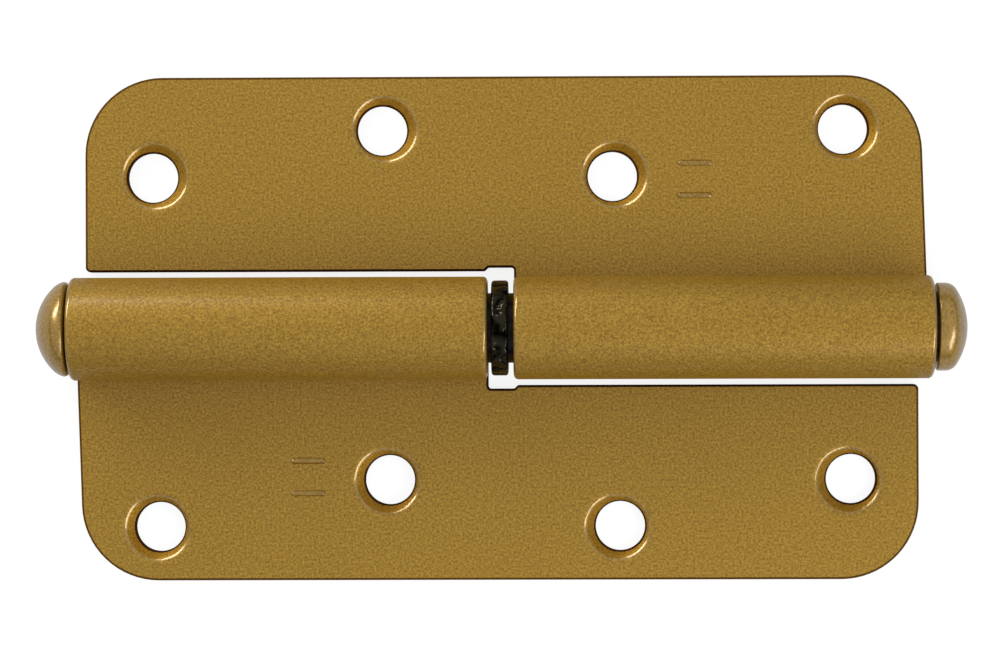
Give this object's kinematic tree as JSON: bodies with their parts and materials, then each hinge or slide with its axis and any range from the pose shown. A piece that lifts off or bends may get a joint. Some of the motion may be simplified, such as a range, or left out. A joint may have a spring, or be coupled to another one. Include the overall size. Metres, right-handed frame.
{
  "type": "lift-off butt hinge",
  "caption": "Surface-mounted lift-off hinge: rounded leaves with staggered countersunk holes, rolled knuckles, a headed pin, a spacer ring and a domed plug; the door leaf lifts off.",
  "frame": {"origin": "on the mounting face, under the pin axis, midway between the two knuckles", "axes": "+X along the pin, from the pin's head to the end plug, the way the lift-off leaf comes off; +Y towards the lift-off leaf's outer edge; +Z out of the mounting face, towards the knuckles"},
  "size_m": [0.1428, 0.078, 0.0158],
  "materials": {
    "bronze_coat": "bronze metallic powder coat on pressed steel, semi-gloss with a fine sparkle",
    "pin_steel": "bronze coated head on a bare steel shank with a thin film of oil",
    "dark_steel": "dark oiled steel"
  },
  "bodies": {
    "pin_half": {"pin_leaf": "bronze_coat", "pin": "pin_steel"},
    "ring": {"spacer_ring": "dark_steel"},
    "lift_off_half": {"lift_off_leaf": "bronze_coat", "end_plug": "bronze_coat"}
  },
  "joints": [
    {"name": "swing", "type": "hinge", "parent": "pin_half", "child": "ring", "pos_m": [0, 0, 0.0079], "axis": [1, 0, 0], "range_deg": [-95, 195]},
    {"name": "lift_off", "type": "slide", "parent": "ring", "child": "lift_off_half", "axis": [1, 0, 0], "range_m": [-0.0007, 0.06]}
  ]
}
